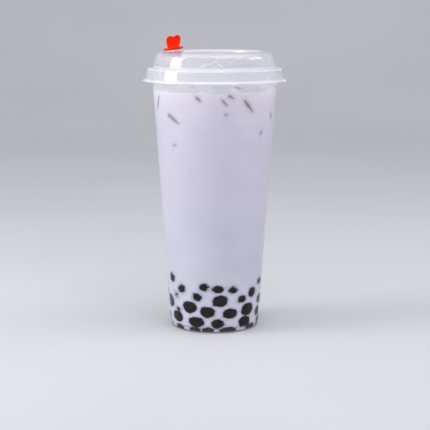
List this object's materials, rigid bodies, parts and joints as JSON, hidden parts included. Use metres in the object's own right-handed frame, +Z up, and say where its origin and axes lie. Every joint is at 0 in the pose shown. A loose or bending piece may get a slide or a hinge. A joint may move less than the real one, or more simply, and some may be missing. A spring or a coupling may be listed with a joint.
{
  "type": "taro bubble tea in a lidded cup",
  "caption": "Tall clear cup of lavender milk tea with dark tapioca pearls at the bottom, floating ice, a clear push-on dome lid and an orange heart stopper.",
  "frame": {"origin": "on the cup's axis, in the plane that the foot ring stands on", "axes": "+Z up along the cup's axis; -Y is the front, with the stopper at -X, to the left"},
  "size_m": [0.0962, 0.0962, 0.1989],
  "materials": {
    "clear_cup": "clear polypropylene, smooth, a little hazy",
    "clear_lid": "clear polypropylene, smooth and glossy",
    "stopper_plastic": "satin orange-red polyethylene",
    "taro_milk": "opaque pale lavender milk tea",
    "tapioca": "dark brown, wet and smooth",
    "ice": "clear ice, wet and partly melted"
  },
  "bodies": {
    "root": {"cup": "clear_cup", "lid": "clear_lid", "stopper": "stopper_plastic", "drink": "taro_milk", "pearls": "tapioca", "ice_1": "ice", "ice_2": "ice", "ice_3": "ice", "ice_4": "ice", "ice_5": "ice", "ice_6": "ice", "ice_7": "ice", "ice_8": "ice"}
  },
  "joints": []
}
